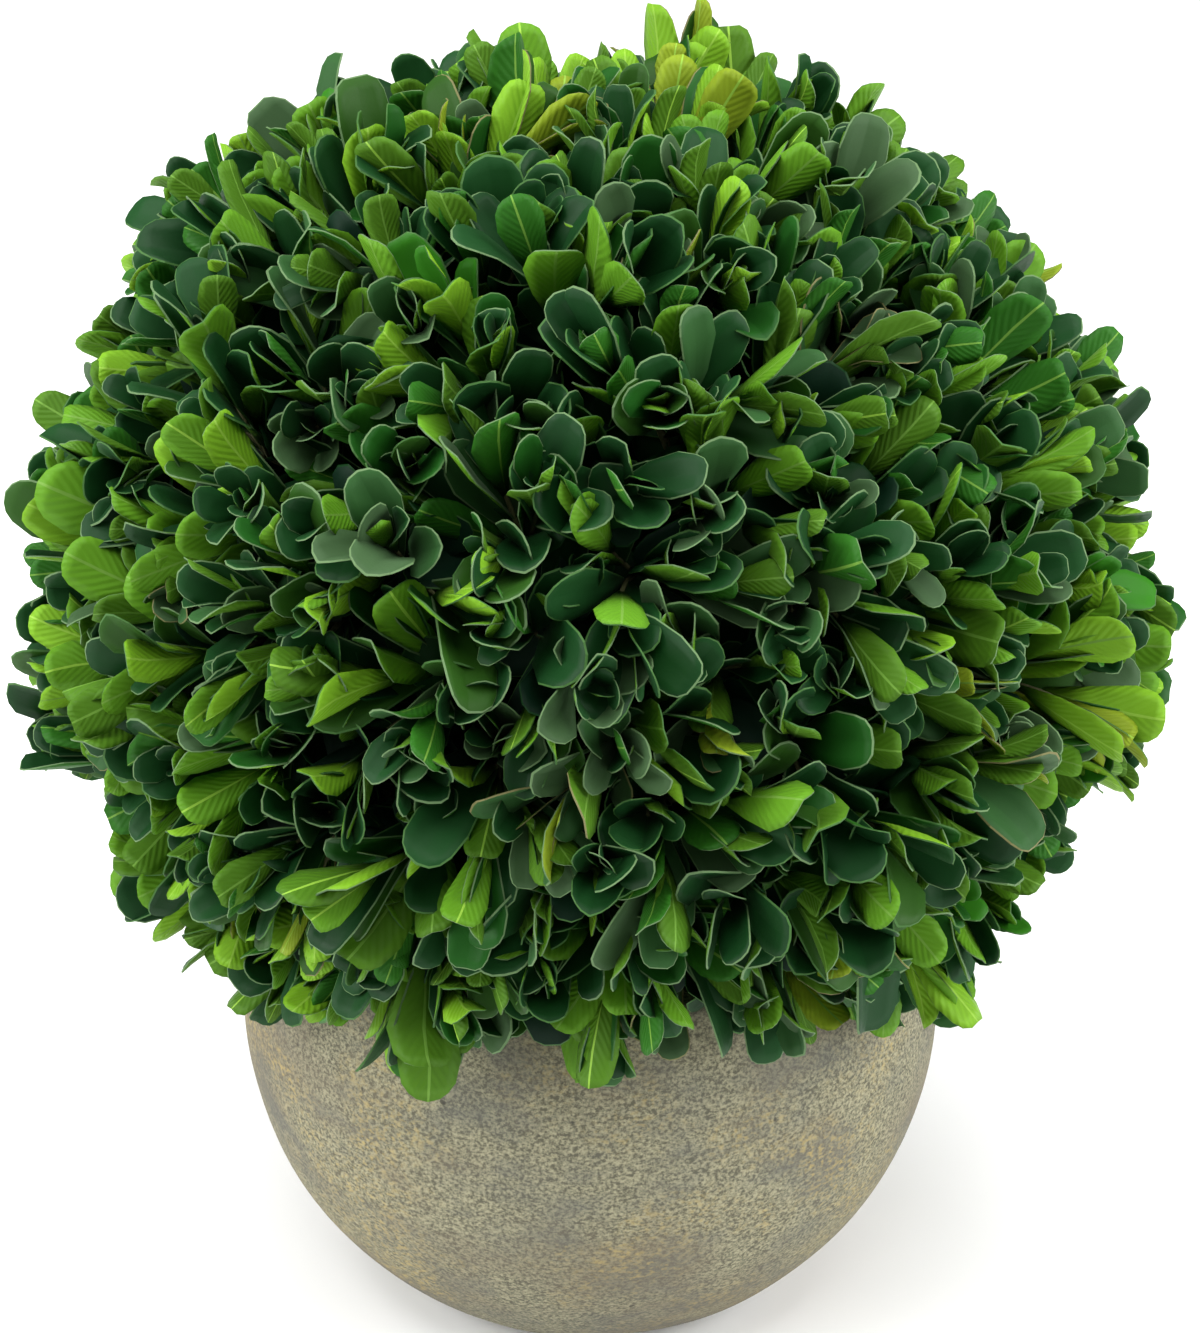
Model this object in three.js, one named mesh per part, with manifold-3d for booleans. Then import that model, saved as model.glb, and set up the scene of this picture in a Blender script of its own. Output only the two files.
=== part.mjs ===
// A tabletop box topiary ball: a clipped, leafy ball on a short hidden stem, planted in a
// round-bellied stone-look pot. Millimetres, +Z up, origin at the middle of the pot's flat underside.
// The front of the ball faces -Y.
import * as THREE from "three";
import { mergeVertices } from "three/addons/utils/BufferGeometryUtils.js";
import Module from "manifold-3d";

const wasm = await Module();
wasm.setup();

// ---- Driving dimensions ----------------------------------------------------------------------
const GAP = 0.5; // clearance between neighbouring pieces

const POT_BELLY_R = 77; // outside of the bellied wall, a sphere about the belly's centre
const POT_BELLY_Z = 64.5; // height of the belly's centre over the underside
const POT_WALL = 7;
const POT_FLOOR = 10;
const POT_FOOT_ROUND = 3; // rounded edge between the underside and the wall
const POT_RIM_Z = 101;
const POT_LIP_ROUND = 2; // rounded edges of the rim
const POT_SIDES = 48;

const SOIL_TOP_Z = 91;
const SOIL_EDGE_DROP = 3; // the soil is a little lower at the wall than round the stem

const STEM_TOP_Z = 148;
const STEM_FOOT_R = 9.5; // at the soil, over the root flare
const STEM_SHAFT_R = 6; // just above the flare
const STEM_TIP_R = 4.8;
const STEM_FLARE_H = 9;
const STEM_SIDES = 20;

const CROWN_CENTRE_Z = 166;
const CROWN_HALF_WIDTH = 118.5;
const CROWN_HEIGHT_ABOVE = 112; // from the crown's centre to its top
const CROWN_DEPTH_BELOW = 99; // its underside is flatter where it rests on the pot
const CROWN_DETAIL = 13; // subdivisions of the icosahedron that the ball starts from
const CROWN_RIM_GAP = 1; // the foliage rests just clear of the pot

// Broad swells and dips of the clipped outline. They stand on the ball's great circle that leans
// back from upright by this many degrees. Each is placed by its angle round that circle from +X,
// by how far it stands out, and by the angle over which it fades.
const OUTLINE_LEAN = 28;
const SWELLS = [
  { at: 0, height: -2, spread: 8 },
  { at: 14, height: 4, spread: 9 },
  { at: 31, height: 2.5, spread: 10 },
  { at: 58, height: 3.5, spread: 13 },
  { at: 80, height: 7, spread: 7 }, // tall tuft at the top
  { at: 97, height: -3.5, spread: 8 },
  { at: 117, height: 4.5, spread: 10 },
  { at: 139, height: 8, spread: 12 },
  { at: 161, height: -6, spread: 8 },
  { at: 181, height: 1, spread: 8 },
  { at: 200, height: 7, spread: 9 },
  { at: 212, height: -3, spread: 7 },
  { at: 232, height: 4, spread: 12 },
  { at: 308, height: 5, spread: 9 },
  { at: 343, height: 6.5, spread: 13 },
];

// Small tufts over the whole surface, spread evenly by the golden angle.
const TUFTS = 150;
const TUFT_HEIGHT = 3.4;
const TUFT_SPREAD = 8;

// ---- Helpers ---------------------------------------------------------------------------------
const X = new THREE.Vector3(1, 0, 0);
const Y = new THREE.Vector3(0, 1, 0);
const Z = new THREE.Vector3(0, 0, 1);
const radians = THREE.MathUtils.degToRad;

// A repeatable random number from 0 to 1 for a whole number.
function chance(n) {
  const x = Math.sin(n * 127.1 + 11.7) * 43758.5453;
  return x - Math.floor(x);
}

// A closed solid of revolution about Z from a profile of (radius, height) points.
function turned(profile, sides) {
  return new THREE.LatheGeometry(profile, sides).rotateX(Math.PI / 2);
}

// A manifold-3d solid from a closed three.js geometry.
function solidOf(geometry) {
  const bare = geometry.clone();
  bare.deleteAttribute("normal");
  bare.deleteAttribute("uv");
  const merged = mergeVertices(bare, 1e-3);
  return new wasm.Manifold(
    new wasm.Mesh({
      numProp: 3,
      vertProperties: merged.attributes.position.array,
      triVerts: new Uint32Array(merged.index.array),
    }),
  );
}

// A three.js geometry from a manifold-3d solid.
function geometryOf(solid) {
  const { vertProperties, triVerts } = solid.getMesh();
  const geometry = new THREE.BufferGeometry();
  geometry.setAttribute("position", new THREE.BufferAttribute(vertProperties, 3));
  geometry.setIndex(new THREE.BufferAttribute(triVerts, 1));
  geometry.computeVertexNormals();
  return geometry;
}

function named(name, geometry, colour, roughness) {
  const material = new THREE.MeshStandardMaterial({ color: colour, roughness, metalness: 0 });
  const mesh = new THREE.Mesh(geometry, material);
  mesh.name = name;
  return mesh;
}

// Outer or inner radius of a wall that is a sphere about the belly's centre.
const wallRadius = (sphere, z) => Math.sqrt(sphere ** 2 - (z - POT_BELLY_Z) ** 2);

// Points along a spherical wall between two heights, evenly spaced by angle.
function wallArc(sphere, fromZ, toZ, steps) {
  const start = Math.asin((fromZ - POT_BELLY_Z) / sphere);
  const end = Math.asin((toZ - POT_BELLY_Z) / sphere);
  return Array.from({ length: steps + 1 }, (_, i) => {
    const a = start + ((end - start) * i) / steps;
    return new THREE.Vector2(sphere * Math.cos(a), POT_BELLY_Z + sphere * Math.sin(a));
  });
}

// Points round a small quarter bend from one corner-side point to the next, past the corner.
function roundedCorner(from, corner, to, steps) {
  return new THREE.QuadraticBezierCurve(from, corner, to).getPoints(steps);
}

// ---- Pot -------------------------------------------------------------------------------------
// The bellied wall from its rounded foot up to its rounded rim, then down the inside to the floor.
function potGeometry() {
  const hollow = POT_BELLY_R - POT_WALL;
  const shoulderZ = POT_RIM_Z - POT_LIP_ROUND;
  const footR = wallRadius(POT_BELLY_R, 0);
  const outerRimR = wallRadius(POT_BELLY_R, POT_RIM_Z);
  const innerRimR = wallRadius(hollow, POT_RIM_Z);
  const foot = roundedCorner(
    new THREE.Vector2(footR - POT_FOOT_ROUND, 0),
    new THREE.Vector2(footR, 0),
    new THREE.Vector2(wallRadius(POT_BELLY_R, POT_FOOT_ROUND), POT_FOOT_ROUND),
    3,
  );
  const outerLip = roundedCorner(
    new THREE.Vector2(wallRadius(POT_BELLY_R, shoulderZ), shoulderZ),
    new THREE.Vector2(outerRimR, POT_RIM_Z),
    new THREE.Vector2(outerRimR - POT_LIP_ROUND, POT_RIM_Z),
    3,
  );
  const innerLip = roundedCorner(
    new THREE.Vector2(innerRimR + POT_LIP_ROUND, POT_RIM_Z),
    new THREE.Vector2(innerRimR, POT_RIM_Z),
    new THREE.Vector2(wallRadius(hollow, shoulderZ), shoulderZ),
    3,
  );
  const profile = [
    new THREE.Vector2(0, 0),
    ...foot,
    ...wallArc(POT_BELLY_R, POT_FOOT_ROUND, shoulderZ, 14).slice(1, -1),
    ...outerLip,
    ...innerLip,
    ...wallArc(hollow, shoulderZ, POT_FLOOR, 12).slice(1),
    new THREE.Vector2(0, POT_FLOOR),
  ];
  return turned(profile, POT_SIDES);
}

// ---- Soil ------------------------------------------------------------------------------------
// Fills the pot's bowl with a gap to its wall and floor, and is level where the stem stands.
function soilGeometry() {
  const bowl = POT_BELLY_R - POT_WALL - GAP;
  const floor = POT_FLOOR + GAP;
  const edge = SOIL_TOP_Z - SOIL_EDGE_DROP;
  const edgeR = wallRadius(bowl, edge);
  const profile = [
    new THREE.Vector2(0, floor),
    ...wallArc(bowl, floor, edge, 9),
    new THREE.Vector2(edgeR * 0.75, edge + SOIL_EDGE_DROP * 0.6),
    new THREE.Vector2(edgeR * 0.4, SOIL_TOP_Z),
    new THREE.Vector2(0, SOIL_TOP_Z),
  ];
  return turned(profile, POT_SIDES);
}

// ---- Stem ------------------------------------------------------------------------------------
// Radius of the stem at a height over the soil: the root flare dies away into a slow taper.
const STEM_LENGTH = STEM_TOP_Z - SOIL_TOP_Z - GAP;
function stemRadius(height) {
  const taper = THREE.MathUtils.lerp(STEM_SHAFT_R, STEM_TIP_R, height / STEM_LENGTH);
  const flare = (STEM_FOOT_R - STEM_SHAFT_R) * Math.exp((-3 * height) / STEM_FLARE_H);
  return taper + flare;
}

// The stem's outside, grown by a clearance where it shapes the socket in the foliage.
function stemGeometry(clearance) {
  const foot = SOIL_TOP_Z + GAP - clearance;
  const top = STEM_TOP_Z + clearance;
  const heights = [0, 0.04, 0.08, 0.14, 0.22, 0.35, 0.55, 0.78, 1]; // closer together at the flare
  const side = heights.map((share) => {
    const z = THREE.MathUtils.lerp(foot, top, share);
    const height = THREE.MathUtils.clamp(z - SOIL_TOP_Z - GAP, 0, STEM_LENGTH);
    return new THREE.Vector2(stemRadius(height) + clearance, z);
  });
  const profile = [new THREE.Vector2(0, foot), ...side, new THREE.Vector2(0, top)];
  return turned(profile, STEM_SIDES);
}

// ---- Crown -----------------------------------------------------------------------------------
const swells = SWELLS.map(({ at, height, spread }) => ({
  towards: X.clone().applyAxisAngle(Y, radians(-at)).applyAxisAngle(X, radians(-OUTLINE_LEAN)),
  height,
  spread: radians(spread),
}));

const GOLDEN_ANGLE = Math.PI * (3 - Math.sqrt(5));
const tufts = Array.from({ length: TUFTS }, (_, i) => {
  const elevation = Math.asin(1 - (2 * (i + 0.5)) / TUFTS);
  const bearing = i * GOLDEN_ANGLE + 0.25 * chance(i);
  return {
    towards: X.clone().applyAxisAngle(Y, -elevation).applyAxisAngle(Z, bearing),
    height: TUFT_HEIGHT * (0.35 + 0.9 * chance(i + 500)),
    spread: radians(TUFT_SPREAD * (0.8 + 0.5 * chance(i + 900))),
  };
});

// Distance of the clipped surface from the crown's centre in a direction.
function crownRadius(direction) {
  const { x, y, z } = direction;
  const halfHeight = z > 0 ? CROWN_HEIGHT_ABOVE : CROWN_DEPTH_BELOW;
  const ball = 1 / Math.hypot(x / CROWN_HALF_WIDTH, y / CROWN_HALF_WIDTH, z / halfHeight);
  const bump = ({ towards, height, spread }) =>
    height * Math.exp(-((direction.angleTo(towards) / spread) ** 2));
  const bumps = [...swells, ...tufts].reduce((sum, b) => sum + bump(b), 0);
  return ball + bumps;
}

// The uneven ball, cut round the pot and its mouth, with a socket for the stem.
function crownGeometry() {
  const ball = new THREE.IcosahedronGeometry(1, CROWN_DETAIL);
  const place = ball.attributes.position;
  const point = new THREE.Vector3();
  for (let i = 0; i < place.count; i++) {
    point.fromBufferAttribute(place, i).normalize();
    const radius = crownRadius(point);
    point.multiplyScalar(radius);
    place.setXYZ(i, point.x, point.y, point.z + CROWN_CENTRE_Z);
  }
  const cleared = POT_BELLY_R + CROWN_RIM_GAP;
  const mouth = POT_RIM_Z + CROWN_RIM_GAP;
  const plug = turned(
    [
      new THREE.Vector2(0, POT_FLOOR),
      ...wallArc(cleared, POT_FLOOR, mouth, 14),
      new THREE.Vector2(0, mouth),
    ],
    POT_SIDES,
  );
  const socket = stemGeometry(GAP);
  return geometryOf(solidOf(ball).subtract(solidOf(plug)).subtract(solidOf(socket)));
}

// ---- The whole plant -------------------------------------------------------------------------
const plant = new THREE.Group();
plant.add(
  named("pot", potGeometry(), 0x969278, 0.9),
  named("soil", soilGeometry(), 0x3a2d22, 0.95),
  named("stem", stemGeometry(0), 0x6a5a3e, 0.85),
  named("crown", crownGeometry(), 0x24501c, 0.7),
);

export default plant;
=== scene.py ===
"""Looks of a tabletop box topiary ball in a round-bellied, stone-look pot.

Sizes are in metres, +Z is up, and the front of the ball faces -Y. Everything is placed from the
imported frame. The crown is grown from the stem by a seeded branching rule: boughs, branches, twigs
and sprigs, each aimed at the part of the ball that it has to fill, with leaves in crossed pairs.
"""

import logging
import math
from collections.abc import Callable, Mapping, Sequence
from dataclasses import dataclass, field
from enum import Enum, IntEnum

import bmesh
import bpy
import numpy as np
from mathutils import Matrix, Vector, noise
from mathutils.bvhtree import BVHTree


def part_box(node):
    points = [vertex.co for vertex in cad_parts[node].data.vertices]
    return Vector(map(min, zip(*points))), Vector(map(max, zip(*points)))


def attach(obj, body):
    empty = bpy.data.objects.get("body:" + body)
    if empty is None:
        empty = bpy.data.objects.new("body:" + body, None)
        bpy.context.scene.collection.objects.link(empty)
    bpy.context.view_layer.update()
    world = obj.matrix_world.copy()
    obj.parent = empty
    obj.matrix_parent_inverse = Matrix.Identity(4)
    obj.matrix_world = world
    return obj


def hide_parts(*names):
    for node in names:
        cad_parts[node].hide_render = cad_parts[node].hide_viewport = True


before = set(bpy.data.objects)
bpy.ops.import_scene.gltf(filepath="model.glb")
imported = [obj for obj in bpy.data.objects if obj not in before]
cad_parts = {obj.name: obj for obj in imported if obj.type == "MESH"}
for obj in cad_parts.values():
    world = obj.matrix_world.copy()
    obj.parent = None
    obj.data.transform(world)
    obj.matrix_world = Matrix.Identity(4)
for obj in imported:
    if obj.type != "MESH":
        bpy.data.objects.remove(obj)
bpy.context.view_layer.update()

LOG = logging.getLogger("topiary")
MM = 0.001
GOLDEN_ANGLE = math.pi * (3 - math.sqrt(5))
ROOT = "root"

Colour = tuple[float, float, float]


# ---- Shader building -------------------------------------------------------------------------
class Graph:
    """The node tree of one new material, open for building."""

    def __init__(self, name: str) -> None:
        """Make a material with its shader.

        Args:
            name: Name of the material.
        """
        self.material = bpy.data.materials.new(name)
        self.material.use_nodes = True
        self.tree = self.material.node_tree
        self.shader = self.tree.nodes["Principled BSDF"]

    def node(
        self,
        kind: str,
        settings: Mapping[str, object] | None = None,
        sockets: Mapping[str | int, object] | None = None,
    ) -> bpy.types.Node:
        """Add one node.

        Args:
            kind: Blender's type of the node.
            settings: Properties set before its sockets; "stops" fills a colour ramp.
            sockets: Values or links of its inputs.

        Returns:
            The new node.
        """
        made = self.tree.nodes.new(kind)
        for key, value in (settings or {}).items():
            if key == "stops":
                self._fill_ramp(made.color_ramp, value)
            else:
                setattr(made, key, value)
        for key, value in (sockets or {}).items():
            self.feed(made.inputs[key], value)
        return made

    @staticmethod
    def _fill_ramp(ramp: bpy.types.ColorRamp, stops: Sequence[tuple[float, float]]) -> None:
        """Set a ramp's stops.

        Args:
            ramp: The ramp of a node.
            stops: Places and grey levels, from the left.
        """
        while len(ramp.elements) < len(stops):
            ramp.elements.new(1.0)
        for element, (place, level) in zip(ramp.elements, stops, strict=True):
            element.position = place
            element.color = (level, level, level, 1.0)

    def feed(self, socket: bpy.types.NodeSocket, value: object) -> None:
        """Link a socket to another, or set its value.

        Args:
            socket: An input of a node.
            value: A socket to link it to, or a plain value.
        """
        if isinstance(value, Sock):
            self.tree.links.new(value.socket, socket)
        elif isinstance(value, bpy.types.NodeSocket):
            self.tree.links.new(value, socket)
        elif isinstance(value, tuple) and len(value) == 3 and socket.type == "RGBA":
            socket.default_value = (*value, 1.0)
        else:
            socket.default_value = value

    def dress(self, **sockets: object) -> bpy.types.Material:
        """Feed the shader's sockets.

        Args:
            **sockets: Values or links by the socket's name, with underscores for spaces.

        Returns:
            The material.
        """
        for key, value in sockets.items():
            self.feed(self.shader.inputs[key.replace("_", " ")], value)
        return self.material

    def place(self, scale: tuple[float, float, float] = (1.0, 1.0, 1.0)) -> "Sock":
        """Read the object's own coordinates.

        Args:
            scale: How far the pattern is pressed together along each axis.

        Returns:
            The coordinates.
        """
        here = self.node("ShaderNodeTexCoord").outputs["Object"]
        mapped = self.node("ShaderNodeMapping", sockets={"Vector": here, "Scale": scale})
        return Sock(self, mapped.outputs["Vector"])

    def noise(self, where: "Sock", scale: float, detail: float = 2.0, rough: float = 0.5) -> "Sock":
        """Add a noise.

        Args:
            where: Its coordinates.
            scale: Cells for each metre.
            detail: Finer layers.
            rough: Weight of the finer layers.

        Returns:
            The noise, from 0 to 1.
        """
        made = self.node(
            "ShaderNodeTexNoise",
            sockets={"Vector": where, "Scale": scale, "Detail": detail, "Roughness": rough},
        )
        return Sock(self, made.outputs["Fac"])

    def ramp(self, value: "Sock", stops: Sequence[tuple[float, float]]) -> "Sock":
        """Return a value sent through a ramp of places and levels."""
        made = self.node("ShaderNodeValToRGB", {"stops": stops}, {"Fac": value})
        return Sock(self, made.outputs["Color"])

    def mix(self, factor: object, first: object, second: object) -> bpy.types.NodeSocket:
        """Mix two colours.

        Args:
            factor: Share of the second.
            first: A colour or its link.
            second: A colour or its link.

        Returns:
            The mixed colour.
        """
        made = self.node(
            "ShaderNodeMix",
            {"data_type": "RGBA", "clamp_factor": True},
            {0: factor, 6: first, 7: second},
        )
        return made.outputs[2]

    def bump(self, height: "Sock", distance: float, strength: float = 1.0) -> bpy.types.NodeSocket:
        """Raise the surface's normal.

        Args:
            height: The relief, from 0 to 1.
            distance: Its depth in metres.
            strength: How much of it shows.

        Returns:
            The normal.
        """
        made = self.node(
            "ShaderNodeBump",
            sockets={"Height": height, "Distance": distance, "Strength": strength},
        )
        return made.outputs["Normal"]


class Sock:
    """A number carried by one shader socket, ready for plain arithmetic."""

    def __init__(self, graph: Graph, socket: bpy.types.NodeSocket) -> None:
        """Wrap an output socket of a graph."""
        self.graph = graph
        self.socket = socket

    def _math(self, operation: str, *values: object) -> "Sock":
        """Return one Math node on these values."""
        made = self.graph.node("ShaderNodeMath", {"operation": operation}, dict(enumerate(values)))
        return Sock(self.graph, made.outputs[0])

    def __add__(self, other: object) -> "Sock":
        """Return self + other."""
        return self._math("ADD", self, other)

    __radd__ = __add__

    def __sub__(self, other: object) -> "Sock":
        """Return self - other."""
        return self._math("SUBTRACT", self, other)

    def __rsub__(self, other: object) -> "Sock":
        """Return other - self."""
        return self._math("SUBTRACT", other, self)

    def __mul__(self, other: object) -> "Sock":
        """Return self * other."""
        return self._math("MULTIPLY", self, other)

    __rmul__ = __mul__

    def __abs__(self) -> "Sock":
        """Return the size of the number."""
        return self._math("ABSOLUTE", self)

    def sine(self) -> "Sock":
        """Return the sine of the number."""
        return self._math("SINE", self)


# ---- Finishes --------------------------------------------------------------------------------
@dataclass(frozen=True)
class CastStone:
    """Matte sandy cast stone: fine speckle, clouded with ochre, umber and slate.

    The scales are in cells for each metre. Most patterns are pressed together in height, which
    draws them out round the pot.
    """

    pale: Colour = (0.285, 0.27, 0.176)
    dark: Colour = (0.068, 0.065, 0.045)
    ochre: Colour = (0.32, 0.243, 0.088)
    slate: Colour = (0.085, 0.088, 0.08)
    sand: Colour = (0.155, 0.146, 0.09)
    umber: Colour = (0.135, 0.112, 0.078)
    pit: Colour = (0.04, 0.038, 0.03)
    grain_scale: float = 1250.0
    fleck_scale: float = 640.0
    pit_scale: float = 430.0
    drift_scale: float = 42.0
    cloud_scale: float = 30.0
    earth_scale: float = 23.0
    relief: float = 0.25 * MM

    def material(self) -> bpy.types.Material:
        """Build the finish.

        Returns:
            The new material.
        """
        g = Graph("cast_stone")
        plain = g.place()
        drawn = g.place((1.0, 1.0, 1.25))
        grain = g.noise(drawn, self.grain_scale, 2.0, 0.65)
        flecks = g.noise(g.place((1.0, 1.0, 1.5)), self.fleck_scale, 2.0, 0.6)
        cloud = g.noise(drawn, self.cloud_scale, 3.0, 0.62)
        drift = g.noise(g.place((1.0, 1.0, 1.9)), self.drift_scale, 4.0, 0.66)
        earth = g.noise(g.place((1.0, 1.0, 1.6)), self.earth_scale, 3.0, 0.6)
        speckle = g.ramp(grain * 0.75 + flecks * 0.25, [(0.4, 0.0), (0.61, 1.0)])
        tone = g.mix(speckle, self.dark, self.pale)
        tone = g.mix(0.12, tone, self.sand)
        tone = g.mix(g.ramp(earth, [(0.46, 0.0), (0.64, 0.55)]), tone, self.umber)
        tone = g.mix(g.ramp(drift, [(0.46, 0.0), (0.66, 0.55)]), tone, self.slate)
        warm = g.ramp(cloud, [(0.48, 0.0), (0.66, 0.8)]) * g.ramp(flecks, [(0.5, 0.05), (0.68, 1.0)])
        tone = g.mix(warm, tone, self.ochre)
        pits = g.ramp(g.noise(plain, self.pit_scale, 0.0, 0.4), [(0.11, 0.8), (0.15, 0.0)])
        tone = g.mix(pits, tone, self.pit)
        height = grain * 0.6 + flecks * 0.4 - pits * 0.8
        return g.dress(
            Base_Color=tone,
            Roughness=0.74 + grain * 0.2,
            Normal=g.bump(height, self.relief, 0.7),
            Specular_IOR_Level=0.25,
        )


@dataclass(frozen=True)
class PottingMix:
    """Dark crumbly planting mix."""

    wet: Colour = (0.012, 0.008, 0.005)
    dry: Colour = (0.07, 0.048, 0.032)
    crumb_scale: float = 420.0
    relief: float = 1.2 * MM

    def material(self) -> bpy.types.Material:
        """Build the finish.

        Returns:
            The new material.
        """
        g = Graph("potting_mix")
        crumbs = g.noise(g.place(), self.crumb_scale, 4.0, 0.7)
        return g.dress(
            Base_Color=g.mix(g.ramp(crumbs, [(0.35, 0.0), (0.7, 1.0)]), self.wet, self.dry),
            Roughness=0.95,
            Normal=g.bump(crumbs, self.relief),
        )


@dataclass(frozen=True)
class BoxBark:
    """Finely furrowed grey-brown bark."""

    furrow: Colour = (0.055, 0.04, 0.022)
    ridge: Colour = (0.2, 0.165, 0.105)
    ridge_scale: float = 900.0
    patch_scale: float = 160.0
    drawn_up: tuple[float, float, float] = (1.0, 1.0, 0.22)
    relief: float = 0.5 * MM

    def material(self) -> bpy.types.Material:
        """Build the finish.

        Returns:
            The new material.
        """
        g = Graph("box_bark")
        ridges = g.noise(g.place(self.drawn_up), self.ridge_scale, 3.0, 0.65)
        patches = g.noise(g.place(), self.patch_scale, 2.0)
        tone = g.mix(g.ramp(ridges, [(0.38, 0.0), (0.62, 1.0)]), self.furrow, self.ridge)
        return g.dress(
            Base_Color=g.mix(patches * 0.5, tone, self.ridge),
            Roughness=0.8 + ridges * 0.15,
            Normal=g.bump(ridges, self.relief),
        )


class LeafPart(IntEnum):
    """The parts of a leaf that take a colour of their own."""

    TOP = 0
    UNDER = 1
    RIM = 2
    MIDRIB = 3


@dataclass(frozen=True)
class LeafSkin:
    """One plain colour of leaf, matte and waxy, with the relief of its veins."""

    name: str
    colour: Colour
    rough: float = 0.5
    bloom: float = 0.0
    veins: float = 0.0
    sheen: Colour = (0.6, 0.95, 0.55)
    grain_scale: float = 1400.0
    relief: float = 0.12 * MM

    def material(self) -> bpy.types.Material:
        """Build the finish.

        Returns:
            The new material.
        """
        g = Graph(self.name)
        grain = g.noise(g.place(), self.grain_scale, 2.0, 0.6)
        height = grain * 0.35
        if self.veins:
            height = height + self._ridges(g) * self.veins
        return g.dress(
            Base_Color=self.colour,
            Roughness=(self.rough - 0.09) + grain * 0.18,
            Normal=g.bump(height, self.relief, 0.7),
            Sheen_Weight=self.bloom,
            Sheen_Roughness=0.45,
            Sheen_Tint=self.sheen,
            Specular_IOR_Level=0.13,
        )

    @staticmethod
    def _ridges(g: Graph, count: float = 11.0, slant: float = 7.0) -> Sock:
        """Return the veins' ridges, which run forward from the midrib to the rim.

        Args:
            g: The material's graph.
            count: Veins along the leaf.
            slant: How far they run forward, in veins across the whole width.

        Returns:
            The height of the ridges, from 0 to 1.
        """
        leaf = g.node("ShaderNodeUVMap", {"uv_map": "leaf"}).outputs["UV"]
        split = g.node("ShaderNodeSeparateXYZ", sockets={"Vector": leaf})
        across = abs(Sock(g, split.outputs["X"]) - 0.5)
        along = Sock(g, split.outputs["Y"])
        return ((along * count - across * slant) * math.tau).sine() * 0.5 + 0.5


@dataclass(frozen=True)
class TwigSkin:
    """Plain colour of young twigs, with a fine grain."""

    name: str
    colour: Colour
    grain_scale: float = 1600.0
    relief: float = 0.2 * MM

    def material(self) -> bpy.types.Material:
        """Build the finish.

        Returns:
            The new material.
        """
        g = Graph(self.name)
        grain = g.noise(g.place(), self.grain_scale, 2.0)
        return g.dress(
            Base_Color=self.colour,
            Roughness=0.62 + grain * 0.2,
            Normal=g.bump(grain, self.relief),
        )


class Tint(Enum):
    """The colourings that a sprig can have, each with the leaf skins that it deals from."""

    # Near-black skins of painted shade, for the leaves deep inside and low under the ball.
    OLD = "old"
    SHADED = "shaded"
    GREY = "grey"
    MID = "mid"
    FRESH = "fresh"
    GOLDEN = "golden"
    FADED = "faded"


# The skins that each tint deals to the upper side, the underside, the rim and the midrib.
DEALS: Mapping[Tint, tuple[str, str, str, str]] = {
    # The painted-shade tint: near-black skins for the leaves deep inside and under the ball.
    Tint.OLD: (
        "top_old top_old top_deep",
        "under_old",
        "rim_green top_deep",
        "under_moss",
    ),
    Tint.SHADED: (
        "top_deep top_deep top_blue",
        "under_moss under_olive under_leaf",
        "rim_pale rim_green",
        "midrib_pale",
    ),
    Tint.GREY: (
        "top_blue top_grey top_dull",
        "under_olive under_leaf under_moss",
        "rim_pale",
        "midrib_pale",
    ),
    Tint.MID: (
        "top_green top_blue top_olive top_deep",
        "under_leaf under_olive under_lime",
        "rim_pale rim_green",
        "midrib_pale midrib_lime",
    ),
    Tint.FRESH: ("top_green top_fresh", "under_lime under_leaf", "rim_green", "midrib_lime"),
    Tint.GOLDEN: ("top_olive top_green", "under_gold under_lime", "rim_tan rim_green", "midrib_lime"),
    Tint.FADED: ("top_dull top_grey", "under_olive under_gold", "rim_tan rim_pale", "midrib_pale"),
}


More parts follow.
